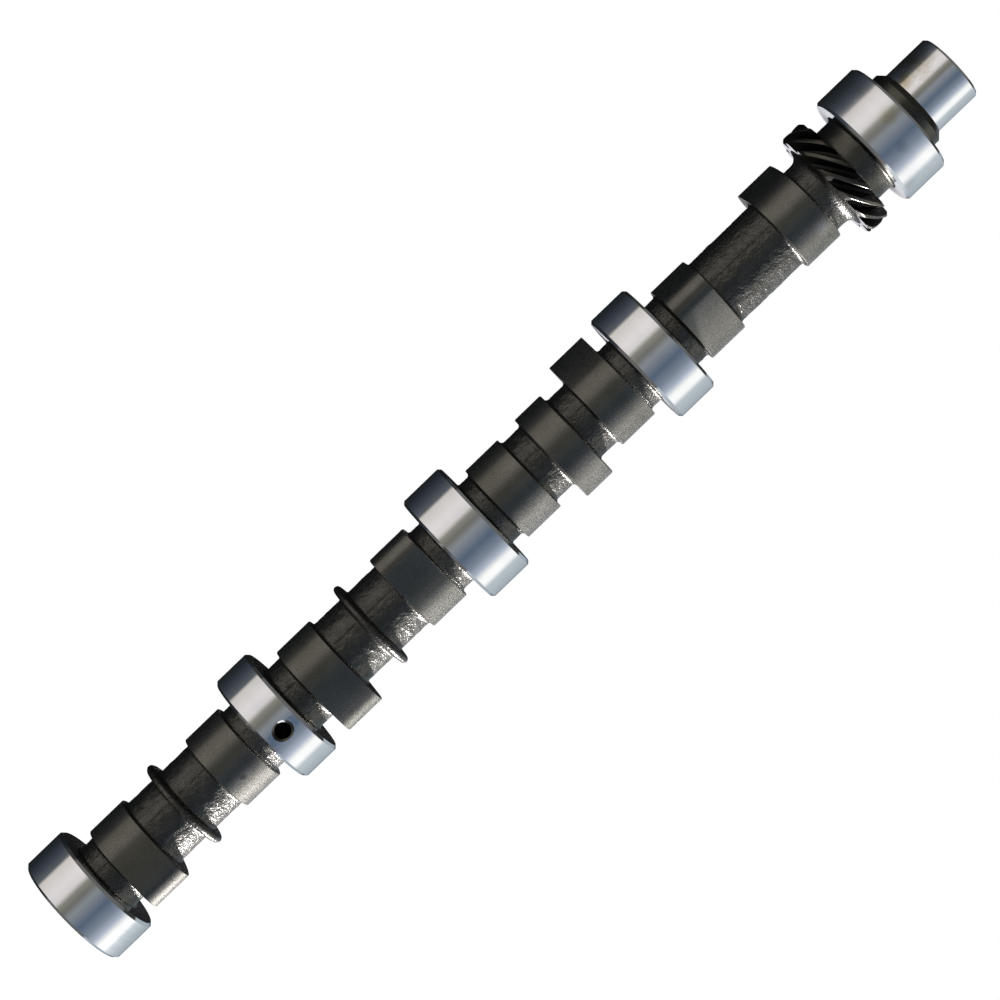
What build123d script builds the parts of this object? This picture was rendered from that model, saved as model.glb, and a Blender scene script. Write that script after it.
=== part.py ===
"""Camshaft of a four-cylinder pushrod engine, cast in one piece and ground on its running faces.

It stands on the end face of its rear journal. The origin is the centre of that face, and +Z runs
along the shaft to the nose that carries the timing gear. -Y is the side of the oil hole. Sizes are
in millimetres. Angles are in degrees about Z from +X, counter-clockwise seen from the nose.
"""
import os
from math import acos, atan2, cos, degrees, pi, radians, sin, tan

from build123d import *

# Places along the shaft, from the rear end face
rear_cylinder = 55.1        # centre line of cylinder 4, the rearmost one
bore_pitch = 90.65          # from one cylinder to the next
valve_offset = 23.1         # from a cylinder's centre line to each of its two lobes
front_overhang = 65.55      # from cylinder 1 to the middle of the front journal

# How far each place stands forward of the even pitch, which the casting doesn't keep exactly
cylinder_shifts = (-0.15, 0.55, -0.25, -0.1)    # cylinders 1 to 4
journal_shifts = (0, -0.95, 0.15, -0.2, 0)      # from the rear journal to the front one
collar_shift = -0.5

# Journals, from the rear one to the front one
front_journal_diameter = 46.5
journal_step = 0.25         # each journal is smaller than the one in front of it
journal_widths = (17.1, 15.2, 18.0, 16.8, 18.3)
journal_chamfer = 1.0
journal_seam = 52           # where a journal's round face closes, away from the oil hole

# Oil hole, drilled across the journal between cylinders 4 and 3
oil_hole_diameter = 6.1
oil_hole_mouth = 8.2
oil_hole_angle = 284

# Lobes: a base circle, two flank arcs and a nose arc
base_diameter = 31.6
lift = 6.3
lobe_nose_radius = 7.0
flank_angle = 62            # from the nose to where a flank leaves the base circle
lobe_width = 15.7
lobe_separation = 110       # from a cylinder's exhaust lobe to its inlet lobe
exhaust_angle = 143         # nose of the exhaust lobe of cylinder 1
firing_order = (1, 3, 4, 2)

# Cast necks, and the collars at cylinders 4 and 3
neck_diameter = 27.3
front_neck_diameter = 31.5  # between the gear and the front journal
neck_fillet = 1.3
collar_diameter = 36.3
collar_width = 3.2          # at its foot
collar_crest = 2.6          # where its crest starts to round over
collar_fillet = 0.8
collar_round = 0.8

# Eccentric of the fuel pump, at cylinder 2
eccentric_diameter = 36.9
eccentricity = 2.5
eccentric_width = 12.5
eccentric_chamfer = 0.4
eccentric_angle = 316

# Helical gear of the distributor drive, right-handed
gear_teeth = 13
gear_module = 1.6           # normal module
gear_helix = 60             # from the shaft's axis, at the pitch circle
gear_pressure = 20          # normal pressure angle
gear_width = 9.2
gear_bevel = 1.0
gear_fillet = 4.0           # from the neck up to the gear's rear face
gear_place = 43.5           # from cylinder 1 to the middle of the gear
gear_phase = 278            # a tooth's middle, halfway along the gear

# Thrust shoulder and nose
shoulder_diameter = 31.6
shoulder_length = 6.3
shoulder_chamfer = 2.3
nose_diameter = 26.8
nose_length = 18.8
nose_chamfer = 0.9

# Holes in the two ends, and the timing gear's key seat
bolt_hole_diameter = 10.7
bolt_hole_mouth = 13.5
bolt_hole_depth = 32.0
centre_hole_diameter = 5.0
centre_hole_mouth = 10.5
centre_hole_depth = 9.0
centre_cone = 60            # included angle of both mouths
drill_tip = 118             # included angle of a drilled hole's bottom
key_cutter = 16.0
key_width = 5.0
key_depth = 4.5
key_angle = 90

cylinders = len(firing_order)
fillet_steps = 2            # straight steps in each cast fillet, which keep its mesh light


def polar(radius, angle):
    """Point at a radius and an angle in radians."""
    return radius * cos(angle), radius * sin(angle)


def turned(outline):
    """Solid of revolution about the axis from a closed outline of radii and heights."""
    return revolve(make_face(Plane.XZ * outline), Axis.Z)


def disc(diameter, width, bevel):
    """Turned disc standing on z = 0, with both rims bevelled."""
    radius = diameter / 2
    rim = radius - bevel
    return turned(Polyline(
        (0, 0), (rim, 0), (radius, bevel), (radius, width - bevel), (rim, width), (0, width), close=True
    ))


def flare(radius, fillet, face, away):
    """Points of a cast fillet, from a face at the height `face` to the neck that leaves it."""
    turns = [pi / 2 * step / fillet_steps for step in range(fillet_steps + 1)]
    return [(radius + fillet * (1 - sin(turn)), face + away * fillet * (1 - cos(turn))) for turn in turns]


def neck(rear, front, diameter, rear_fillet, front_fillet):
    """Cast neck that flares into the face at each of its ends."""
    radius = diameter / 2
    foot = flare(radius, rear_fillet, rear, 1)
    head = flare(radius, front_fillet, front, -1)
    return turned(Polyline((0, rear), *foot, *reversed(head), (0, front), close=True))


def cam_outline():
    """Three-arc cam with its nose on +X, its flanks tangent to the base circle and to the nose."""
    base = base_diameter / 2
    nose_centre = base + lift - lobe_nose_radius
    narrowing = base - lobe_nose_radius
    leave = radians(flank_angle)
    reach = (nose_centre**2 - narrowing**2) / (2 * (narrowing - nose_centre * cos(leave)))
    flank_radius = base + reach
    centre = Vector(*polar(-reach, leave))
    meet = atan2(-centre.Y, nose_centre - centre.X)
    points = [centre + Vector(*polar(flank_radius, angle)) for angle in (leave, (leave + meet) / 2, meet)]
    flank = ThreePointArc(*points)
    other_flank = mirror(flank, Plane.XZ)
    nose = ThreePointArc(flank @ 1, (base + lift, 0), other_flank @ 1)
    heel = ThreePointArc(flank @ 0, (-base, 0), other_flank @ 0)
    return make_face(flank + nose + other_flank + heel)


def lobe(angle):
    """Cam lobe with its nose at the angle."""
    return Rot(0, 0, angle) * extrude(cam_outline(), lobe_width)


def eccentric():
    """Round eccentric that works the fuel pump's lever."""
    x, y = polar(eccentricity, radians(eccentric_angle))
    return Pos(x, y, 0) * disc(eccentric_diameter, eccentric_width, eccentric_chamfer)


def collar():
    """Thin cast collar with drafted sides and a rounded-off crest."""
    crest = collar_diameter / 2
    shoulder = crest - collar_round
    foot = neck_diameter / 2 + collar_fillet
    rear, front = (collar_width - collar_crest) / 2, (collar_width + collar_crest) / 2
    return turned(Polyline(
        (0, 0), (foot, 0), (shoulder, rear), (crest, rear + collar_round), (crest, front - collar_round),
        (shoulder, front), (foot, collar_width), (0, collar_width), close=True
    ))


def involute(angle):
    """Involute function of a pressure angle."""
    return tan(angle) - angle


def gear_section(pitch_radius, tip, root):
    """Section across the gear, with involute flanks from root to tip."""
    pressure = atan2(tan(radians(gear_pressure)), cos(radians(gear_helix)))
    base = pitch_radius * cos(pressure)
    pitch = 2 * pi / gear_teeth

    def half_tooth(radius):
        return pitch / 4 + involute(pressure) - involute(acos(base / radius))

    steps = 4
    radii = [root + (tip - root) * step / steps for step in range(steps + 1)]
    outline = Curve()
    for tooth in range(gear_teeth):
        middle = tooth * pitch
        rising = Spline(*[polar(radius, middle - half_tooth(radius)) for radius in radii])
        falling = Spline(*[polar(radius, middle + half_tooth(radius)) for radius in reversed(radii)])
        land = ThreePointArc(rising @ 1, polar(tip, middle), falling @ 0)
        next_root = polar(root, middle + pitch - half_tooth(root))
        gap = ThreePointArc(falling @ 1, polar(root, middle + pitch / 2), next_root)
        outline += rising + land + falling + gap
    return make_face(outline)


def gear():
    """Helical gear with bevelled tooth ends."""
    pitch_radius = gear_teeth * gear_module / (2 * cos(radians(gear_helix)))
    tip = pitch_radius + gear_module
    root = pitch_radius - 1.25 * gear_module
    twist = degrees(gear_width * tan(radians(gear_helix)) / pitch_radius)
    section = gear_section(pitch_radius, tip, root)
    teeth = Solid.extrude_linear_with_rotation(section.face(), (0, 0, 0), (0, 0, gear_width), twist)
    return Rot(0, 0, gear_phase - twist / 2) * (disc(2 * tip, gear_width, gear_bevel) & teeth)


def cone_height(wide, narrow, angle):
    """Height of a cone of the included angle between two diameters."""
    return (wide - narrow) / 2 / tan(radians(angle / 2))


def end_hole(diameter, mouth, depth):
    """Drilled hole going up from z = 0, with a conical mouth and bottom."""
    radius = diameter / 2
    cone = cone_height(mouth, diameter, centre_cone)
    bottom = depth + cone_height(diameter, 0, drill_tip)
    return turned(Polyline((0, 0), (mouth / 2, 0), (radius, cone), (radius, depth), (0, bottom), close=True))


def oil_hole(journal_diameter):
    """Hole right across a journal, with a countersink at each mouth, along +X and -X."""
    radius = oil_hole_diameter / 2
    sink = (oil_hole_mouth - oil_hole_diameter) / 2
    start = journal_diameter / 2 - sink
    outside = journal_diameter / 2 + sink
    half = Polyline((0, 0), (radius, 0), (radius, start), (radius + 2 * sink, outside), (0, outside), close=True)
    drill = turned(half)
    return Rot(0, 90, 0) * (drill + mirror(drill, Plane.XY))


def key_seat():
    """Round-bottomed seat of the timing gear's key, cut across the nose's side at +X."""
    cutter = Rot(90, 0, 0) * Cylinder(key_cutter / 2, key_width)
    return Pos(nose_diameter / 2 - key_depth + key_cutter / 2, 0, 0) * cutter


def centre_line(cylinder):
    """Place along the shaft of a cylinder's centre line; cylinder 1 is the foremost."""
    return rear_cylinder + (cylinders - cylinder) * bore_pitch + cylinder_shifts[cylinder - 1]


class Station:
    """What stands on the necks: a solid, where it starts and ends, and the fillet at its foot."""

    def __init__(self, solid, middle, width, fillet=neck_fillet):
        self.rear = middle - width / 2
        self.front = middle + width / 2
        self.fillet = fillet
        self.solid = Pos(0, 0, self.rear) * solid


def journals():
    """The bearing journals, from the rear one to the front one."""
    middles = [journal_widths[0] / 2]
    middles += [(centre_line(cylinder) + centre_line(cylinder - 1)) / 2 for cylinder in range(cylinders, 1, -1)]
    middles.append(centre_line(1) + front_overhang)
    stations = []
    for place, (middle, shift, width) in enumerate(zip(middles, journal_shifts, journal_widths)):
        diameter = front_journal_diameter - journal_step * (cylinders - place)
        journal = Rot(0, 0, journal_seam) * disc(diameter, width, journal_chamfer)
        stations.append(Station(journal, middle + shift, width))
    return stations


def lobes():
    """Exhaust and inlet lobe of each cylinder; the exhaust lobe is in front at odd cylinders."""
    foot = min(neck_fillet, (base_diameter - neck_diameter) / 2)
    stations = []
    for cylinder in firing_order:
        side = 1 if cylinder % 2 else -1
        exhaust = exhaust_angle + 360 / cylinders * firing_order.index(cylinder)
        for offset, angle in ((side, exhaust), (-side, exhaust + lobe_separation)):
            middle = centre_line(cylinder) + offset * valve_offset
            stations.append(Station(lobe(angle), middle, lobe_width, foot))
    return stations


def camshaft():
    """The whole camshaft, from the stations and the necks between them."""
    bearings = journals()
    drive = Station(gear(), centre_line(1) + gear_place, gear_width, gear_fillet)
    collars = [
        Station(collar(), centre_line(cylinder) + collar_shift, collar_width, collar_fillet) for cylinder in (4, 3)
    ]
    pump = Station(eccentric(), centre_line(2), eccentric_width)
    stations = sorted([*bearings, *lobes(), *collars, pump, drive], key=lambda station: station.rear)

    shaft = Part() + [station.solid for station in stations]
    for behind, ahead in zip(stations, stations[1:]):
        in_front_of_gear = behind is drive
        diameter = front_neck_diameter if in_front_of_gear else neck_diameter
        rear_fillet = neck_fillet if in_front_of_gear else behind.fillet
        shaft += neck(behind.front, ahead.rear, diameter, rear_fillet, ahead.fillet)

    shoulder_rear = bearings[-1].front
    nose_rear = shoulder_rear + shoulder_length
    tip = nose_rear + nose_length
    shoulder = shoulder_diameter / 2
    nose = nose_diameter / 2
    shaft += turned(Polyline(
        (0, shoulder_rear), (shoulder, shoulder_rear), (shoulder, nose_rear - shoulder_chamfer),
        (shoulder - shoulder_chamfer, nose_rear), (nose, nose_rear), (nose, tip - nose_chamfer),
        (nose - nose_chamfer, tip), (0, tip), close=True
    ))

    drilled = bearings[1]
    drilled_middle = (drilled.rear + drilled.front) / 2
    drilled_diameter = front_journal_diameter - journal_step * (cylinders - 1)
    shaft -= Pos(0, 0, drilled_middle) * Rot(0, 0, oil_hole_angle) * oil_hole(drilled_diameter)
    shaft -= end_hole(centre_hole_diameter, centre_hole_mouth, centre_hole_depth)
    shaft -= Pos(0, 0, tip) * Rot(180, 0, 0) * end_hole(bolt_hole_diameter, bolt_hole_mouth, bolt_hole_depth)
    shaft -= Pos(0, 0, (nose_rear + tip) / 2) * Rot(0, 0, key_angle) * key_seat()
    return shaft


os.makedirs("parts", exist_ok=True)
export_step(camshaft(), "parts/camshaft.step")
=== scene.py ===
"""Looks of the camshaft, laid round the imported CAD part.

The shaft stands on its rear journal and runs up along +Z, with the oil hole that shows towards -Y.
Every surface is a stack of rings round the axis, so the same few methods make the journals, the
lobes, the cast necks, the collars, the gear and the nose. Sizes are in millimetres until a mesh is
made, and they repeat the CAD's. Angles are in degrees, and one that gives a direction is about Z
from +X.
"""
from math import acos, atan2, cos, degrees, pi, radians, sin, tan

import bpy
import numpy as np
from mathutils import Matrix, Vector, noise


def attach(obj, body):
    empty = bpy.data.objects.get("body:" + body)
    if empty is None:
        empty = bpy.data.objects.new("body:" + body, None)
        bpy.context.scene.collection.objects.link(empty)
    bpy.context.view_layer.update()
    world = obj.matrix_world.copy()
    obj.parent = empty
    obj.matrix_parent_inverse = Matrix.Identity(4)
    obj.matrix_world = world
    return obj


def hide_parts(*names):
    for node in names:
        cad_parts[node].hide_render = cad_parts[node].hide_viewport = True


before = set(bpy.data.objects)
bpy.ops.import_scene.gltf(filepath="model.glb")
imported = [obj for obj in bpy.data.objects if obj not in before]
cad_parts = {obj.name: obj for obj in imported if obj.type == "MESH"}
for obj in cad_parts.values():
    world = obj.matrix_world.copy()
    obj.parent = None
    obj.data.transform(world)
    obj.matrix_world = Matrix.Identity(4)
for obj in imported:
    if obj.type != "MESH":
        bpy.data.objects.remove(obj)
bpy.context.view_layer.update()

MM = 0.001                  # in metres

# Places along the shaft, from the rear end face
CYLINDERS = 4               # number 1 is the foremost one
REAR_CYLINDER = 55.1        # centre line of the rearmost one
BORE_PITCH = 90.65
VALVE_OFFSET = 23.1         # from a cylinder's centre line to each of its two lobes
FRONT_OVERHANG = 65.55      # from cylinder 1 to the middle of the front journal
CYLINDER_SHIFTS = (-0.15, 0.55, -0.25, -0.1)    # cylinders 1 to 4
JOURNAL_SHIFTS = (0, -0.95, 0.15, -0.2, 0)      # from the rear journal to the front one
COLLAR_SHIFT = -0.5
COLLAR_CYLINDERS = (4, 3)
ECCENTRIC_CYLINDER = 2

# Journals, from the rear one to the front one
FRONT_JOURNAL = 46.5
JOURNAL_STEP = 0.25
JOURNAL_WIDTHS = (17.1, 15.2, 18.0, 16.8, 18.3)
JOURNAL_CHAMFER = 1.0

# Oil hole across the second journal from the rear
OIL_HOLE = 6.1
OIL_MOUTH = 8.2
OIL_ANGLE = 284
MOUTH_SLOPE = 33            # how steeply the mouth goes in
GLINT_SECTOR = (35, 80)       # where the mouth is made bright ground steel, a painted glint on one side, from +Z round the hole

# Lobes: a base circle, two flank arcs and a nose arc
BASE = 31.6
LIFT = 6.3
LOBE_NOSE = 7.0
FLANK_ANGLE = 62            # from the nose to where a flank meets the base circle
LOBE_WIDTH = 15.7
LOBE_BEVEL = 0.2
LOBE_SEPARATION = 110       # from a cylinder's exhaust lobe to its inlet lobe
EXHAUST_ANGLE = 143         # nose of cylinder 1's exhaust lobe
FIRING_ORDER = (1, 3, 4, 2)
FIRING_STEP = 90            # turn from one firing to the next

# Cast necks and collars
NECK = 27.3
FRONT_NECK = 31.5
FILLET = 1.3
COLLAR = 36.3
COLLAR_WIDTH = 3.2          # at its foot
COLLAR_CREST = 2.6          # across its round crest
COLLAR_FILLET = 0.8

# Eccentric of the fuel pump
ECCENTRIC = 36.9
ECCENTRICITY = 2.5
ECCENTRIC_WIDTH = 12.5
ECCENTRIC_BEVEL = 0.4
ECCENTRIC_ANGLE = 316

# Helical gear
TEETH = 13
MODULE = 1.6
HELIX = 60
PRESSURE = 20
ROOT_DEPTH = 1.25           # in modules
TIP_ROUNDING = 0.15
ROOT_HOLLOW = 0.1
GEAR_WIDTH = 9.2
GEAR_BEVEL = 1.0
GEAR_FILLET = 4.0
GEAR_PLACE = 43.5           # from cylinder 1 to the middle of the gear
GEAR_PHASE = 278

# Thrust shoulder and nose
SHOULDER = 31.6
SHOULDER_LENGTH = 6.3
SHOULDER_CHAMFER = 2.3
SHOULDER_GROUND = 1.5       # bright band next to the front journal
NOSE = 26.8
NOSE_LENGTH = 18.8
NOSE_CHAMFER = 0.9

# Holes in the two ends, and the key seat
BOLT_HOLE = 10.7
BOLT_MOUTH = 13.5
BOLT_DEPTH = 32.0
CENTRE_HOLE = 5.0
CENTRE_MOUTH = 10.5
CENTRE_DEPTH = 9.0
CENTRE_CONE = 60            # included angle of both mouths
DRILL_TIP = 118             # included angle of a drilled hole's bottom
POINT = 0.02                # radius of the ring that closes a surface on the axis
KEY_CUTTER = 16.0
KEY_WIDTH = 5.0
KEY_DEPTH = 4.5
KEY_ANGLE = 90

# Cast surface
CAST_WAVES = (              # waves per mm, height, and a shift that sets them apart
    (0.16, 0.16, (0, 0, 0)),
    (0.55, 0.13, (7, 0, 0)),
    (1.7, 0.07, (0, 3, 0)),
)
PARTING = (252, 72)         # angles of the ridges where the mould's halves met
RIDGE_HEIGHT = 0.22
RIDGE_WIDTH = 0.45
RIDGE_REACH = 2             # nothing of a ridge is left at this distance
NECK_ROW = 0.45             # height between the rings of a cast neck
FOOT_ROUGH = 0.6            # height of the waves on a neck's fillets, as a share of the neck's own
COLLAR_ROUGH = 0.7          # and as a share of a plain neck's
FRONT_NECK_ROUGH = 0.25

# Rings and rows of the meshes
COLUMNS = 240
CUTTER_COLUMNS = 64
STUDIO_COLUMNS = 72
FILLET_STEPS = 6
BLOCK_STEPS = 4
COLLAR_STEPS = 4
CREST_STEPS = 10
FLANK_STEPS = 6
LAND_PARTS = (-0.8, -0.3, 0.3, 0.8)     # columns on a tooth's tip, as shares of half its width
GAP_PARTS = (0.3, 0.7, 1.0, 1.3, 1.7)   # and in the gap after it
NOSE_STEPS = 7
GEAR_ROWS = 24
SHARP = 38                  # an edge that turns by more than this is sharp
GEAR_SHARP = 30
OVERLAP = 0.3               # how far the end of a length of neck goes into the piece next to it

# Finishes, as places in a piece's list of materials; the last is near-black painted shade for the gaps
# between the gear's teeth and the bore of the oil hole
GROUND, DARK, CAST, SHADE, PAINTED_SHADE_BLACK = range(5)


# Shapes: each gives the radius at every angle of a ring
def off_centre(radius, distance, angle):
    """Circle whose centre is away from the axis."""
    def shape(angles):
        along = distance * np.cos(angles - radians(angle))
        return along + np.sqrt(radius**2 - distance**2 + along**2)
    return shape


def cam(angle, inset):
    """Three-arc cam with its nose at the angle, drawn in by the inset all round."""
    base = BASE / 2
    nose_centre = base + LIFT - LOBE_NOSE
    narrowing = base - LOBE_NOSE
    leave = radians(FLANK_ANGLE)
    reach = (nose_centre**2 - narrowing**2) / (2 * (narrowing - nose_centre * cos(leave)))
    flank = base + reach
    x, y = -reach * cos(leave), -reach * sin(leave)
    turn = atan2(-y, nose_centre - x)
    meet = atan2(y + flank * sin(turn), x + flank * cos(turn))

    def shape(angles):
        away = np.abs((angles - radians(angle) + pi) % (2 * pi) - pi)
        across = (nose_centre * np.sin(away)) ** 2
        on_nose = nose_centre * np.cos(away) + np.sqrt(np.maximum(LOBE_NOSE**2 - across, 0))
        along = x * np.cos(away) + y * np.sin(away)
        on_flank = along + np.sqrt(flank**2 - reach**2 + along**2)
        radius = np.where(away < meet, on_nose, np.where(away < leave, on_flank, base))
        return radius - inset
    return shape


def cast_height(radius, angle, z, rough):
    """How far a cast surface stands out at a point."""
    point = (radius * cos(angle), radius * sin(angle), z)
    height = rough * sum(
        wave * noise.noise(Vector([value * rate + move for value, move in zip(point, shift)]))
        for rate, wave, shift in CAST_WAVES
    )
    for line in PARTING:
        across = ((angle - radians(line) + pi) % (2 * pi) - pi) * radius
        if abs(across) < RIDGE_REACH:
            height += rough * RIDGE_HEIGHT * np.exp(-(across / RIDGE_WIDTH) ** 2)
    return height


class Station:
    """What stands on the necks, and where; value is a journal's radius or a lobe's angle."""

    feet = {
        "journal": FILLET,
        "lobe": min(FILLET, (BASE - NECK) / 2),
        "eccentric": FILLET,
        "collar": COLLAR_FILLET,
        "gear": GEAR_FILLET,
    }

    def __init__(self, kind, middle, width, value=None):
        self.kind, self.middle, self.value = kind, middle, value
        self.rear, self.front = middle - width / 2, middle + width / 2
        self.fillet = self.feet[kind]


class Skin:
    """Rings that a surface is stretched over, from the rear to the front."""

    def __init__(self, columns=COLUMNS):
        self.angles = np.arange(columns) * 2 * pi / columns
        self.rings, self.finish = [], []

    def ring(self, z, shape, finish, rough=0.0, angles=None):
        """Ring at the height z; the finish is that of the band that comes up to it."""
        angles = self.angles if angles is None else angles
        radius = shape(angles) if callable(shape) else np.full(angles.shape, float(shape))
        if rough:
            for place, angle in enumerate(angles):
                radius[place] += cast_height(radius[place], angle, z, rough)
        heights = np.full(angles.shape, float(z))
        self.rings.append(np.stack([radius * np.cos(angles), radius * np.sin(angles), heights], 1))
        self.finish.append(finish)

    def flare(self, start, way, radius, fillet, steps, finish, rough):
        """Round fillet between a face at the height start and a neck; way is 1 for a neck in front."""
        for step in steps:
            turn = pi / 2 * step / FILLET_STEPS
            z = start + way * fillet * (1 - cos(turn))
            self.ring(z, radius + fillet * (1 - sin(turn)), finish, rough * FOOT_ROUGH * (step > 0))

    def neck(self, rear, front, radius, rear_fillet, front_fillet, finish=CAST, rough=1.0, face=None):
        """Neck with a fillet at each end; face is the finish of the face behind it."""
        foot = len(self.finish)
        self.flare(rear, 1, radius, rear_fillet, range(FILLET_STEPS + 1), finish, rough)
        if face is not None:
            self.finish[foot] = face
        start, stop = rear + rear_fillet, front - front_fillet
        count = max(2, int((stop - start) / NECK_ROW))
        for step in range(1, count):
            self.ring(start + (stop - start) * step / count, radius, finish, rough)
        self.flare(front, -1, radius, front_fillet, range(FILLET_STEPS, -1, -1), finish, rough)

    def block(self, station, shape_at, bevel, finish):
        """Station with square faces and bevelled rims; shape_at takes how far to come in."""
        rear, front = station.rear, station.front
        self.ring(rear, shape_at(bevel), finish)
        self.ring(rear + bevel, shape_at(0), finish)
        for step in range(1, BLOCK_STEPS + 1):
            z = rear + bevel + (front - rear - 2 * bevel) * step / BLOCK_STEPS
            self.ring(z, shape_at(0), finish)
        self.ring(front, shape_at(bevel), finish)

    def journal(self, station):
        self.block(station, lambda inset: station.value - inset, JOURNAL_CHAMFER, GROUND)

    def lobe(self, station):
        self.block(station, lambda inset: cam(station.value, inset), LOBE_BEVEL, DARK)

    def eccentric(self, station):
        def shape_at(inset):
            return off_centre(ECCENTRIC / 2 - inset, ECCENTRICITY, ECCENTRIC_ANGLE)
        self.block(station, shape_at, ECCENTRIC_BEVEL, DARK)

    def collar(self, station):
        """Thin cast collar with drafted sides and a round crest."""
        rear, middle, front = station.rear, station.middle, station.front
        low, crest, half = NECK / 2 + COLLAR_FILLET, COLLAR / 2, COLLAR_CREST / 2
        self.ring(rear, low, CAST)
        for step in range(1, COLLAR_STEPS + 1):
            part = step / COLLAR_STEPS
            z = rear + (middle - half - rear) * part
            self.ring(z, low + (crest - half - low) * part, CAST, COLLAR_ROUGH)
        for step in range(1, CREST_STEPS):
            turn = pi * step / CREST_STEPS
            z = middle - half * cos(turn)
            self.ring(z, crest - half + half * sin(turn), CAST, COLLAR_ROUGH)
        for step in range(COLLAR_STEPS + 1):
            part = step / COLLAR_STEPS
            z = middle + half + (front - middle - half) * part
            radius = crest - half + (low - crest + half) * part
            self.ring(z, radius, CAST, COLLAR_ROUGH * (step < COLLAR_STEPS))

    def put(self, station):
        """Adds a station by the method that has the name of its kind."""
        getattr(self, station.kind)(station)

    def run(self, row):
        """Adds stations, and the necks between them."""
        for behind, ahead in zip(row, row[1:]):
            self.put(behind)
            face = GROUND if behind.kind == "journal" else CAST
            self.neck(behind.front, ahead.rear, NECK / 2, behind.fillet, ahead.fillet, face=face)
        self.put(row[-1])

    def mesh(self, name, materials, sharp=SHARP):
        """Closed mesh over the rings, linked to the scene as an object."""
        count, rings = len(self.angles), len(self.rings)
        points = np.concatenate(self.rings) * MM
        first, last = points[:count].mean(0), points[-count:].mean(0)
        points = np.concatenate([points, [first, last]])
        top, foot, head = (rings - 1) * count, rings * count, rings * count + 1
        afters = [(column + 1) % count for column in range(count)]
        faces, finish = [], []
        for row in range(rings - 1):
            low, high = row * count, (row + 1) * count
            for column, after in enumerate(afters):
                faces.append((low + column, low + after, high + after, high + column))
                finish.append(self.finish[row + 1])
        for column, after in enumerate(afters):
            faces += [(foot, after, column), (head, top + column, top + after)]
            finish += [self.finish[0], self.finish[-1]]
        data = bpy.data.meshes.new(name)
        data.from_pydata(points.tolist(), [], faces)
        for material in materials:
            data.materials.append(material)
        data.polygons.foreach_set("material_index", finish)
        data.polygons.foreach_set("use_smooth", [True] * len(faces))
        data.set_sharp_from_angle(angle=radians(sharp))
        data.update()
        return linked(name, data)


def linked(name, data):
    """New object in the scene."""
    thing = bpy.data.objects.new(name, data)
    bpy.context.scene.collection.objects.link(thing)
    return thing


# Nodes
def nodes_of(name):
    """New material with its tree and its shader."""
    material = bpy.data.materials.new(name)
    material.use_nodes = True
    tree = material.node_tree
    return material, tree, tree.nodes["Principled BSDF"]


def surface_of(tree):
    return tree.nodes["Material Output"].inputs["Surface"]


def add(tree, kind, **values):
    """Node with the settings and the inputs of these names."""
    node = tree.nodes.new(kind)
    for key, value in values.items():
        if hasattr(node, key):
            setattr(node, key, value)
        else:
            node.inputs[key].default_value = value
    return node


def fill(tree, socket, value):
    """Sets a socket to a value, or links it to another node's output."""
    if isinstance(value, bpy.types.NodeSocket):
        tree.links.new(value, socket)
    else:
        socket.default_value = value


def calc(tree, operation, *values, **settings):
    """Output of a Math node."""
    node = add(tree, "ShaderNodeMath", operation=operation, **settings)
    for socket, value in zip(node.inputs, values):
        fill(tree, socket, value)
    return node.outputs[0]


def map_range(tree, value, source, target=(0.0, 1.0), **settings):
    """Value carried over from one range to the other."""
    node = add(tree, "ShaderNodeMapRange", **settings)
    tree.links.new(value, node.inputs["Value"])
    for name, ends in (("From", source), ("To", target)):
        node.inputs[name + " Min"].default_value, node.inputs[name + " Max"].default_value = ends
    return node.outputs[0]


def blend(tree, share, first, second):
    """Colour that goes from the first to the second as the share rises."""
    node = add(tree, "ShaderNodeMix", data_type="RGBA")
    tree.links.new(share, node.inputs[0])
    for socket, colour in ((node.inputs[6], first), (node.inputs[7], second)):
        fill(tree, socket, (*colour, 1) if isinstance(colour, tuple) else colour)
    return node.outputs[2]


def ramp(tree, source, *stops):
    """Colour that the source finds between the stops, each a place and a colour."""
    node = add(tree, "ShaderNodeValToRGB")
    elements = node.color_ramp.elements
    while len(elements) < len(stops):
        elements.new(0.5)
    for element, (place, colour) in zip(elements, stops):
        element.position = place
        element.color = (*colour, 1)
    tree.links.new(source, node.inputs["Fac"])
    return node.outputs["Color"]


def grey(value):
    return (value, value, value)


def texture(tree, scale, detail, roughness=0.55):
    """Noise; the scale is in waves per mm along each axis."""
    place = add(tree, "ShaderNodeTexCoord")
    mapping = add(tree, "ShaderNodeMapping", Scale=[1000 * value for value in scale])
    tree.links.new(place.outputs["Object"], mapping.inputs["Vector"])
    node = add(tree, "ShaderNodeTexNoise", Scale=1.0, Detail=detail, Roughness=roughness)
    tree.links.new(mapping.outputs["Vector"], node.inputs["Vector"])
    return node.outputs["Fac"]


def bump(tree, shader, height, distance):
    node = add(tree, "ShaderNodeBump", Strength=1.0, Distance=distance * MM)
    tree.links.new(height, node.inputs["Height"])
    tree.links.new(node.outputs["Normal"], shader.inputs["Normal"])


def near(tree, spot, reach, ragged=0.5):
    """Share that falls from 1 at a spot to 0 at the reach, with a ragged rim."""
    place = add(tree, "ShaderNodeTexCoord")
    away = add(tree, "ShaderNodeVectorMath", operation="DISTANCE")
    tree.links.new(place.outputs["Object"], away.inputs[0])
    away.inputs[1].default_value = [value * MM for value in spot]
    fall = calc(tree, "MULTIPLY_ADD", away.outputs["Value"], -1 / (reach * MM), 1 - ragged)
    grain = texture(tree, (0.35, 0.35, 0.35), detail=3, roughness=0.6)
    return calc(tree, "MULTIPLY_ADD", grain, 2 * ragged, fall, use_clamp=True)


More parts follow.
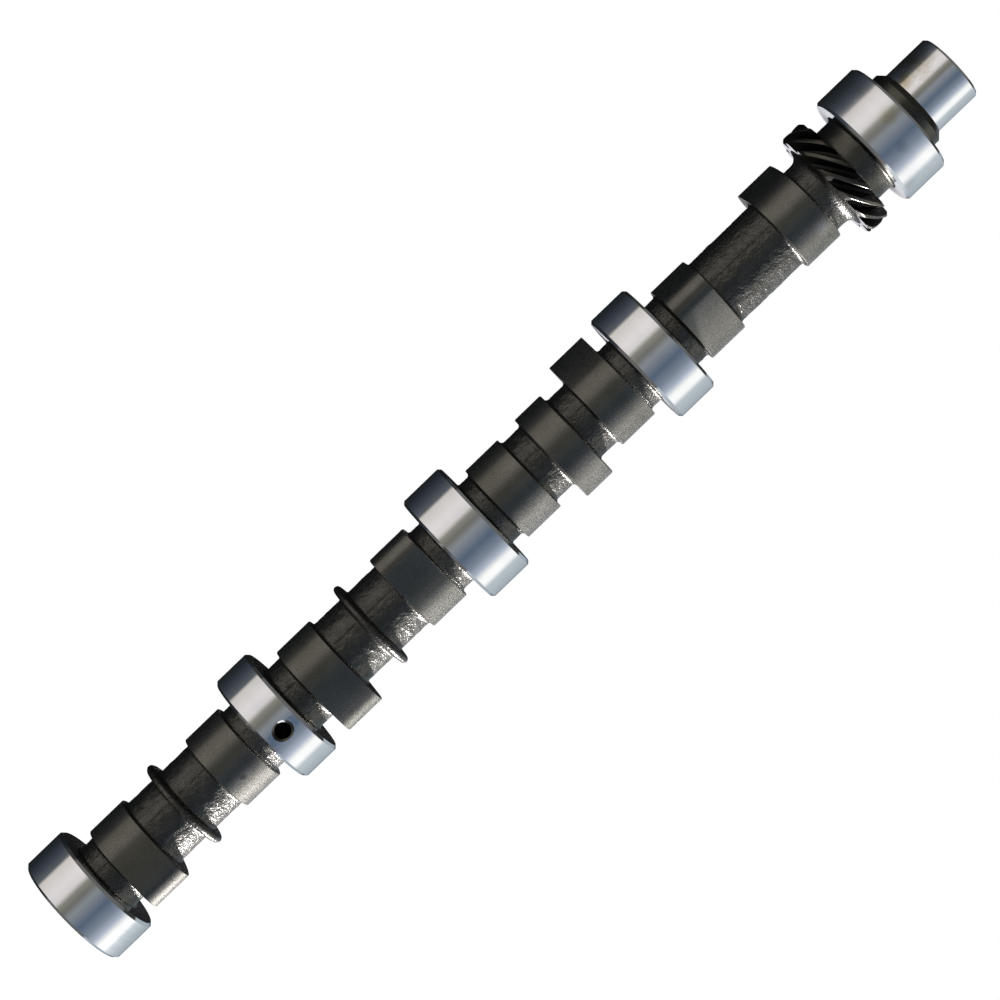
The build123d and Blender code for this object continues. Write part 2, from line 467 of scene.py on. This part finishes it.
# Materials, all procedural; a mark has a place, a reach and a colour
STEEL_TONES = ((0.3, (0.81, 0.82, 0.83)), (0.7, (0.89, 0.89, 0.88)))
STAINS = (                  # oil and handling marks on the nose and the front journal
    ((-10.5, -8.3, 417), 9, (0.46, 0.40, 0.27)),
    ((-8.0, -11.0, 410), 5, (0.52, 0.44, 0.28)),
    ((-3.0, -22.5, 396), 4, (0.70, 0.67, 0.56)),
    ((8.0, -21.5, 392), 3, (0.60, 0.62, 0.63)),
    ((19.0, -13.0, 386), 4, (0.70, 0.70, 0.70)),
    ((-16.0, -16.0, 396), 5, (0.78, 0.76, 0.70)),
)
IRON_SMEAR_AND_DENT_SHADE = (              # near-black painted shade of a dent in the second lobe from the rear, and a smear on the foremost lobe
    ((7.7, -14.2, 77.5), 1.6, grey(0.03)),
    ((9.5, -13.0, 354.0), 3.5, grey(0.22)),
)
GRINDING = dict(scale=(0.02, 0.02, 9.0), detail=4, roughness=0.7)
PHOSPHATE_LINES = dict(scale=(0.03, 0.03, 6.0), detail=4, roughness=0.7)
CAST_BUMPS = dict(scale=(1.35, 1.35, 1.35), detail=2, roughness=0.5)


def marked(tree, colour, marks):
    """Colour with the marks laid over it."""
    for spot, reach, tint in marks:
        colour = blend(tree, near(tree, spot, reach), colour, tint)
    return colour


def ground_steel(name, low, high, marks=()):
    """Ground steel with the roughness between low and high, and fine lines round the shaft."""
    material, tree, shader = nodes_of(name)
    shader.inputs["Metallic"].default_value = 1.0
    tone = ramp(tree, texture(tree, (0.05, 0.05, 0.12), detail=4), *STEEL_TONES)
    tree.links.new(marked(tree, tone, marks), shader.inputs["Base Color"])
    lines = texture(tree, **GRINDING)
    tree.links.new(ramp(tree, lines, (0.25, grey(low)), (0.75, grey(high))), shader.inputs["Roughness"])
    bump(tree, shader, lines, 0.002)
    return material


def iron(name, low, high, smooth, rough, even, patches=0.10, relief=None, depth=0.0):
    """Dark iron whose colour goes from low to high in patches, so many of them per mm.

    Its fine grains are either smooth or rough, and even says where the change lies. Relief is the
    noise of its bumps, and depth is their height.
    """
    material, tree, shader = nodes_of(name)
    shader.inputs["Metallic"].default_value = 1.0
    tone = ramp(tree, texture(tree, (patches, patches, patches), detail=5), (0.3, low), (0.7, high))
    # The marks are a smear and the painted shade of a dent
    tree.links.new(marked(tree, tone, IRON_SMEAR_AND_DENT_SHADE), shader.inputs["Base Color"])
    grain = texture(tree, (5, 5, 5), detail=2, roughness=0.6)
    share = ramp(tree, grain, (even - 0.1, grey(smooth)), (even + 0.1, grey(rough)))
    tree.links.new(share, shader.inputs["Roughness"])
    if relief:
        bump(tree, shader, texture(tree, **relief), depth)
    return material


def phosphated(name, low, high, rough):
    """Iron with fine lines round the shaft."""
    return iron(name, low, high, smooth=0.24, rough=rough, even=0.57, relief=PHOSPHATE_LINES, depth=0.004)


steel = ground_steel("ground_steel", low=0.07, high=0.14)
dark = phosphated("phosphated_iron", (0.136, 0.132, 0.112), (0.168, 0.163, 0.143), rough=0.68)
cast = iron(
    "as_cast_iron", (0.078, 0.076, 0.067), (0.116, 0.113, 0.101),
    smooth=0.27, rough=0.72, even=0.58, patches=0.35, relief=CAST_BUMPS, depth=0.25,
)
# Near-black iron: painted shade in the gear's tooth gaps and the oil hole's bore
painted_shade_black = iron("painted_shade_iron", (0.016, 0.015, 0.014), (0.028, 0.026, 0.024), smooth=0.35, rough=0.60, even=0.5)
handled = ground_steel("handled_steel", low=0.10, high=0.20, marks=STAINS)
shade = phosphated("oiled_iron", (0.076, 0.073, 0.060), (0.108, 0.105, 0.089), rough=0.56)
finishes = [steel, dark, cast, shade, painted_shade_black]
front_finishes = [handled] + finishes[1:]


# Stations
def cylinder_middle(cylinder):
    return REAR_CYLINDER + (CYLINDERS - cylinder) * BORE_PITCH + CYLINDER_SHIFTS[cylinder - 1]


def journals():
    """Journals from the rear one to the front one."""
    middles = [JOURNAL_WIDTHS[0] / 2]
    for cylinder in range(CYLINDERS, 1, -1):
        middles.append((cylinder_middle(cylinder) + cylinder_middle(cylinder - 1)) / 2)
    middles.append(cylinder_middle(1) + FRONT_OVERHANG)
    row = []
    for place, (middle, shift, width) in enumerate(zip(middles, JOURNAL_SHIFTS, JOURNAL_WIDTHS)):
        radius = (FRONT_JOURNAL - JOURNAL_STEP * (CYLINDERS - place)) / 2
        row.append(Station("journal", middle + shift, width, radius))
    return row


def lobes():
    """Exhaust and inlet lobe of each cylinder; the exhaust lobe is in front at odd cylinders."""
    row = []
    for place, cylinder in enumerate(FIRING_ORDER):
        side = 1 if cylinder % 2 else -1
        exhaust = EXHAUST_ANGLE + FIRING_STEP * place
        for offset, angle in ((side, exhaust), (-side, exhaust + LOBE_SEPARATION)):
            middle = cylinder_middle(cylinder) + offset * VALVE_OFFSET
            row.append(Station("lobe", middle, LOBE_WIDTH, angle))
    return row


bearings = journals()
drilled, front_journal = bearings[1], bearings[-1]
gear_station = Station("gear", cylinder_middle(1) + GEAR_PLACE, GEAR_WIDTH)
stations = bearings + lobes() + [gear_station]
stations += [Station("collar", cylinder_middle(c) + COLLAR_SHIFT, COLLAR_WIDTH) for c in COLLAR_CYLINDERS]
stations.append(Station("eccentric", cylinder_middle(ECCENTRIC_CYLINDER), ECCENTRIC_WIDTH))
stations.sort(key=lambda station: station.middle)
behind_cut = stations[:stations.index(drilled)]
ahead_of_cut = stations[stations.index(drilled) + 1:stations.index(gear_station)]
nose_rear = front_journal.front + SHOULDER_LENGTH
nose_tip = nose_rear + NOSE_LENGTH


def end_hole(z, sign, diameter, mouth, depth):
    """Heights and radii of a drilled end hole, from its bottom to its mouth; sign is -1 at the rear."""
    cone = (mouth - diameter) / 2 / tan(radians(CENTRE_CONE / 2))
    tip = diameter / 2 / tan(radians(DRILL_TIP / 2))
    return [(z - sign * (depth + tip), POINT), (z - sign * depth, diameter / 2),
            (z - sign * cone, diameter / 2), (z, mouth / 2)]


# Pieces
def rear_length():
    """From the rear journal up to the drilled one."""
    skin, last = Skin(), behind_cut[-1]
    for z, radius in end_hole(0, -1, CENTRE_HOLE, CENTRE_MOUTH, CENTRE_DEPTH):
        skin.ring(z, radius, CAST)
    skin.run(behind_cut)
    skin.neck(last.front, drilled.rear, NECK / 2, last.fillet, FILLET)
    skin.ring(drilled.rear + OVERLAP, NECK / 2 + FILLET, CAST)
    return skin.mesh("shaft_rear", finishes)


def drilled_journal():
    skin = Skin()
    skin.put(drilled)
    return skin.mesh("journal_drilled", finishes)


def front_length():
    """From the drilled journal up to the gear."""
    skin, first, last = Skin(), ahead_of_cut[0], ahead_of_cut[-1]
    skin.ring(drilled.front - OVERLAP, NECK / 2 + FILLET, CAST)
    skin.neck(drilled.front, first.rear, NECK / 2, FILLET, first.fillet)
    skin.run(ahead_of_cut)
    skin.neck(last.front, gear_station.rear, NECK / 2, last.fillet, GEAR_FILLET)
    skin.ring(gear_station.rear + OVERLAP, NECK / 2 + GEAR_FILLET, CAST)
    return skin.mesh("shaft_front", finishes)


def involute(angle):
    return tan(angle) - angle


def tooth_outline(pitch_radius, tip):
    """Angles and radii of one tooth and the gap after it."""
    root = pitch_radius - ROOT_DEPTH * MODULE
    pressure = atan2(tan(radians(PRESSURE)), cos(radians(HELIX)))
    base = pitch_radius * cos(pressure)
    pitch = 2 * pi / TEETH

    def half(radius):
        return pitch / 4 + involute(pressure) - involute(acos(base / radius))

    flank = []
    for step in range(FLANK_STEPS + 1):
        radius = root + (tip - TIP_ROUNDING - root) * step / FLANK_STEPS
        flank.append((-half(radius), radius))
    land = [(half(tip) * part, tip) for part in LAND_PARTS]
    other_flank = [(-angle, radius) for angle, radius in reversed(flank)]
    width = pitch / 2 - half(root)
    gap = [(half(root) + width * part, root - ROOT_HOLLOW * sin(pi * part / 2)) for part in GAP_PARTS]
    return flank + land + other_flank + gap


def gear():
    """Gear whose columns follow the teeth round the helix."""
    rear, middle, front = gear_station.rear, gear_station.middle, gear_station.front
    pitch_radius = TEETH * MODULE / (2 * cos(radians(HELIX)))
    tip = pitch_radius + MODULE
    outline = tooth_outline(pitch_radius, tip)
    columns = len(outline) * TEETH
    angles = np.array([2 * pi / TEETH * tooth + angle for tooth in range(TEETH) for angle, _ in outline])
    radii = np.array([radius for _ in range(TEETH) for _, radius in outline])
    skin = Skin(columns)
    for row in range(GEAR_ROWS + 1):
        z = rear + GEAR_WIDTH * row / GEAR_ROWS
        turned = angles + radians(GEAR_PHASE) + (z - middle) * tan(radians(HELIX)) / pitch_radius
        limit = tip - max(0, GEAR_BEVEL - (z - rear), GEAR_BEVEL - (front - z))
        skin.ring(z, lambda angles: np.minimum(radii, limit), SHADE, angles=turned)
    piece = skin.mesh("gear", finishes, GEAR_SHARP)

    # The flanks and the gaps between the teeth get near-black iron, painted shade, and the teeth's rear ends
    # are bare
    side_faces = GEAR_ROWS * columns
    land = range(FLANK_STEPS, FLANK_STEPS + len(LAND_PARTS) + 1)
    for place, face in enumerate(piece.data.polygons[:side_faces]):
        if place % len(outline) not in land:
            face.material_index = PAINTED_SHADE_BLACK
    for face in piece.data.polygons[side_faces:]:
        if face.center.z < middle * MM:
            face.material_index = GROUND
    return piece


def nose_end():
    """Front neck, front journal, shoulder and nose."""
    skin = Skin()
    skin.ring(gear_station.front - OVERLAP, FRONT_NECK / 2 + FILLET, CAST)
    start, stop = gear_station.front, front_journal.rear
    skin.neck(start, stop, FRONT_NECK / 2, FILLET, FILLET, SHADE, FRONT_NECK_ROUGH)
    skin.put(front_journal)
    skin.ring(front_journal.front, SHOULDER / 2, GROUND)
    skin.ring(front_journal.front + SHOULDER_GROUND, SHOULDER / 2, SHADE)
    skin.ring(nose_rear - SHOULDER_CHAMFER, SHOULDER / 2, SHADE)
    skin.ring(nose_rear, SHOULDER / 2 - SHOULDER_CHAMFER, SHADE)
    skin.ring(nose_rear, NOSE / 2, SHADE)
    for step in range(1, NOSE_STEPS + 1):
        skin.ring(nose_rear + (NOSE_LENGTH - NOSE_CHAMFER) * step / NOSE_STEPS, NOSE / 2, GROUND)
    skin.ring(nose_tip, NOSE / 2 - NOSE_CHAMFER, GROUND)
    for z, radius in reversed(end_hole(nose_tip, 1, BOLT_HOLE, BOLT_MOUTH, BOLT_DEPTH)):
        skin.ring(z, radius, GROUND)
    return skin.mesh("shaft_nose", front_finishes)


def cut_away(piece, name, profile, place):
    """Cuts a turned tool out of a piece; its profile has heights, radii and finishes."""
    skin = Skin(CUTTER_COLUMNS)
    for z, radius, finish in profile:
        skin.ring(z, radius, finish)
    tool = skin.mesh(name, finishes)
    tool.data.transform(place)
    modifier = piece.modifiers.new("cut", "BOOLEAN")
    modifier.operation = "DIFFERENCE"
    modifier.object = tool
    modifier.solver = "EXACT"
    graph = bpy.context.evaluated_depsgraph_get()
    data = bpy.data.meshes.new_from_object(piece.evaluated_get(graph))
    piece.modifiers.clear()
    piece.data = data
    data.set_sharp_from_angle(angle=radians(SHARP))
    bpy.data.objects.remove(tool)


def translation(x, y, z):
    return Matrix.Translation((x * MM, y * MM, z * MM))


def rotation(angle, axis):
    return Matrix.Rotation(radians(angle), 4, axis)


def cut_oil_hole(piece):
    """Oil hole right across the journal, with a mouth at each end whose one side is made bright steel for a
    painted glint.
    """
    radius = OIL_HOLE / 2
    widening = (OIL_MOUTH - OIL_HOLE) / 2
    sink = widening * tan(radians(MOUTH_SLOPE))
    start, outside = drilled.value - sink, drilled.value + sink
    wide = radius + 2 * widening
    # The bore gets near-black iron, painted shade inside the hole
    profile = [
        (-outside, wide, SHADE), (-start, radius, SHADE), (start, radius, PAINTED_SHADE_BLACK), (outside, wide, SHADE),
    ]
    aim = translation(0, 0, drilled.middle) @ rotation(OIL_ANGLE, "Z") @ rotation(90, "Y")
    cut_away(piece, "oil_drill", profile, aim)
    # One sector of each mouth is made bright ground steel, a painted glint; the rest stays dark iron
    azimuth = radians(OIL_ANGLE)
    for face in piece.data.polygons:
        across = (face.center.x * sin(azimuth) - face.center.y * cos(azimuth)) / MM
        angle = degrees(atan2(across, face.center.z / MM - drilled.middle))
        if face.material_index == SHADE and GLINT_SECTOR[0] < angle < GLINT_SECTOR[1]:
            face.material_index = GROUND


def cut_key_seat(piece):
    """Round-bottomed seat across the nose's side."""
    profile = [(-KEY_WIDTH / 2, KEY_CUTTER / 2, SHADE), (KEY_WIDTH / 2, KEY_CUTTER / 2, SHADE)]
    seat = translation(0, 0, (nose_rear + nose_tip) / 2) @ rotation(KEY_ANGLE, "Z")
    seat = seat @ translation(NOSE / 2 - KEY_DEPTH + KEY_CUTTER / 2, 0, 0) @ rotation(90, "X")
    cut_away(piece, "key_cutter", profile, seat)


rear_piece = rear_length()
journal_piece = drilled_journal()
front_piece = front_length()
gear_piece = gear()
nose_piece = nose_end()
cut_oil_hole(journal_piece)
cut_key_seat(nose_piece)

for piece in (rear_piece, journal_piece, front_piece, gear_piece, nose_piece):
    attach(piece, "root")
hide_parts("camshaft")

# Stage, in metres: a pale floor, and cards that only glossy rays see
FLOOR_SIZE = 6
FLOOR_GLOW = 1.06           # strength of the light that the camera sees in place of the floor
FLOOR_SHARE = 0.9           # how far it does; the rest is the lit floor
CARD_STRENGTH = 1.17
SIDE_CARD, HIGH_CARD, END_CARD = range(3)
STUDIO_RINGS = (            # height, radius, and the card that comes up to it
    (-6, 0.02, END_CARD), (-6, 3, END_CARD), (2.4, 3, SIDE_CARD), (4.4, 3, HIGH_CARD), (4.4, 0.02, END_CARD),
)
# Light levels of the panels that stand round the shaft, by azimuth; 0 is the camera's side
SIDES = (
    (-180, (20, 20, 20)), (-130, (35, 40, 45)), (-105, (55, 60, 70)), (-82, (85, 90, 95)),
    (-77, (200, 195, 190)), (-45, (220, 215, 215)), (-29, (210, 205, 205)), (-21, (130, 130, 120)),
    (-8, (105, 105, 100)), (4, (130, 135, 140)), (30, (80, 95, 115)), (52, (120, 130, 145)),
    (68, (165, 175, 190)), (83, (250, 250, 250)), (97, (250, 250, 250)), (108, (180, 190, 195)),
    (160, (150, 160, 170)), (172, (50, 50, 55)), (180, (25, 25, 25)),
)
HIGH = ((-180, (50, 50, 50)), (180, (50, 50, 50)))
ENDS = ((-180, (95, 95, 95)), (180, (95, 95, 95)))
NARROWS_BETWEEN = (0.55, 0.78)      # heights between which the left panel gets narrower
NARROWED_BY = 0.14                  # how far its levels move in towards azimuth 0, as a share
BACK_CARD_PLACE = (0, 2.5, -0.9)
BACK_CARD_SIZE = (0.25, 2.1, 1)
BACK_CARD_COLOUR = (0.80, 0.80, 0.86, 1)
WORLD_GREY = 0.78
LIT_POINT = (0, 0, 0.2)     # what the lamps aim at

# Camera: the photograph's view
PICTURE_PIXELS = 1000
PIXEL = 0.35 * MM           # at the shaft's axis
CAMERA_DISTANCE = 1.2775
CAMERA_SIDE = -0.03 * MM
CAMERA_HEIGHT = 228.8 * MM
PICTURE_MIDDLE = 207.8 * MM     # height that the middle of the picture shows
CAMERA_ROLL = radians(43.88)
SENSOR = 36
CLIP = (0.05, 20)


def linear(*levels):
    """Colour that renders as these levels of 255."""
    return tuple(((v / 255 + 0.055) / 1.055) ** 2.4 if v > 10 else v / 255 / 12.92 for v in levels)


def pale_floor():
    """Floor that glows for the camera and stays out of reflections."""
    bpy.ops.mesh.primitive_plane_add(size=FLOOR_SIZE, location=(0, 0, 0))
    plane = bpy.context.object
    plane.name = "floor"
    material, tree, shader = nodes_of("pale_floor")
    shader.inputs["Base Color"].default_value = (0.82, 0.82, 0.82, 1)
    shader.inputs["Roughness"].default_value = 0.9
    shader.inputs["Specular IOR Level"].default_value = 0.1
    glow = add(tree, "ShaderNodeEmission", Color=(1, 1, 1, 1), Strength=FLOOR_GLOW)
    path = add(tree, "ShaderNodeLightPath")
    mix = add(tree, "ShaderNodeMixShader")
    tree.links.new(calc(tree, "MULTIPLY", path.outputs["Is Camera Ray"], FLOOR_SHARE), mix.inputs[0])
    tree.links.new(shader.outputs[0], mix.inputs[1])
    tree.links.new(glow.outputs[0], mix.inputs[2])
    tree.links.new(mix.outputs[0], surface_of(tree))
    plane.data.materials.append(material)
    plane.visible_glossy = plane.visible_diffuse = plane.visible_shadow = False
    return plane


def only_glossy(thing):
    """The thing, which only glossy rays see from now on."""
    thing.visible_camera = thing.visible_diffuse = False
    thing.visible_shadow = thing.visible_transmission = False
    return thing


def card(name, stops):
    """Material of a card that glows by azimuth."""
    material, tree, _ = nodes_of(name)
    place = add(tree, "ShaderNodeNewGeometry").outputs["Position"]
    parts = add(tree, "ShaderNodeSeparateXYZ")
    tree.links.new(place, parts.inputs[0])
    flipped = calc(tree, "MULTIPLY", parts.outputs["Y"], -1.0)
    azimuth = map_range(tree, calc(tree, "ARCTAN2", parts.outputs["X"], flipped), (-pi, pi))
    # The panel on the left is narrower towards the front end
    narrow = map_range(
        tree, parts.outputs["Z"], NARROWS_BETWEEN, (0.0, NARROWED_BY), interpolation_type="SMOOTHSTEP"
    )
    left = calc(tree, "MINIMUM", calc(tree, "SUBTRACT", azimuth, 0.5), 0.0)
    moved = calc(tree, "MULTIPLY_ADD", left, narrow, azimuth)
    levels = ramp(tree, moved, *[((angle + 180) / 360, linear(*colour)) for angle, colour in stops])
    glow = add(tree, "ShaderNodeEmission", Strength=CARD_STRENGTH)
    tree.links.new(levels, glow.inputs["Color"])
    tree.links.new(glow.outputs[0], surface_of(tree))
    return material


def studio_cards():
    """Closed drum of cards round the shaft."""
    skin = Skin(STUDIO_COLUMNS)
    for z, radius, finish in STUDIO_RINGS:
        skin.ring(z / MM, radius / MM, finish)
    materials = [card("side_cards", SIDES), card("high_card", HIGH), card("end_cards", ENDS)]
    return only_glossy(skin.mesh("studio_cards", materials))


def low_card():
    """Low pale card behind the shaft, which lights the faces that look down."""
    material, tree, _ = nodes_of("back_card")
    glow = add(tree, "ShaderNodeEmission", Color=BACK_CARD_COLOUR, Strength=1.0)
    tree.links.new(glow.outputs[0], surface_of(tree))
    bpy.ops.mesh.primitive_plane_add(size=1, location=BACK_CARD_PLACE, rotation=(pi / 2, 0, 0))
    plane = bpy.context.object
    plane.name = "back_card"
    plane.scale = BACK_CARD_SIZE
    plane.data.materials.append(material)
    return only_glossy(plane)


def light_world():
    """White behind the object, also in reflections; other rays find a plain grey."""
    world = bpy.data.worlds.new("studio")
    bpy.context.scene.world = world
    world.use_nodes = True
    tree = world.node_tree
    path = add(tree, "ShaderNodeLightPath")
    seen = path.outputs["Is Camera Ray"]
    for kind in ("Is Glossy Ray", "Is Transmission Ray"):
        seen = calc(tree, "MAXIMUM", seen, path.outputs[kind])
    background = tree.nodes["Background"]
    tree.links.new(blend(tree, seen, grey(WORLD_GREY), grey(1)), background.inputs["Color"])
    background.inputs["Strength"].default_value = 1.0


def lamp(name, where, size, power, colour=(1, 1, 1), in_gloss=False):
    """Square lamp aimed at the shaft."""
    data = bpy.data.lights.new(name, "AREA")
    data.shape = "RECTANGLE"
    data.size = data.size_y = size
    data.energy = power
    data.color = colour
    thing = linked(name, data)
    thing.location = where
    thing.rotation_mode = "QUATERNION"
    thing.rotation_quaternion = (Vector(LIT_POINT) - Vector(where)).to_track_quat("-Z", "Y")
    thing.visible_glossy = in_gloss


def camera():
    """Camera rolled so that the shaft runs to the upper right."""
    data = bpy.data.cameras.new("camera")
    thing = linked("camera", data)
    bpy.context.scene.camera = thing
    spot = Vector((CAMERA_SIDE, -CAMERA_DISTANCE, CAMERA_HEIGHT))
    centre = Vector((CAMERA_SIDE, 0, PICTURE_MIDDLE))
    right = Vector((sin(CAMERA_ROLL), 0, cos(CAMERA_ROLL)))
    up = Vector((-cos(CAMERA_ROLL), 0, sin(CAMERA_ROLL)))
    axes = Matrix((right, up, Vector((0, -1, 0)))).transposed().to_4x4()
    thing.matrix_world = Matrix.Translation(spot) @ axes
    width = PICTURE_PIXELS * PIXEL
    data.sensor_width = SENSOR
    data.lens = SENSOR * CAMERA_DISTANCE / width
    data.shift_x = (centre - spot).dot(right) / width
    data.shift_y = (centre - spot).dot(up) / width
    data.clip_start, data.clip_end = CLIP


floor = pale_floor()
studio = studio_cards()
back_card = low_card()
light_world()
lamp("side_lamp", (2.41, 0.92, -1.1), size=0.26, power=375, colour=(0.98, 0.95, 1.0), in_gloss=True)
lamp("key_lamp", (-0.8, -1.0, 0.55), size=0.8, power=6)
camera()
bpy.context.scene.view_settings.view_transform = "Standard"
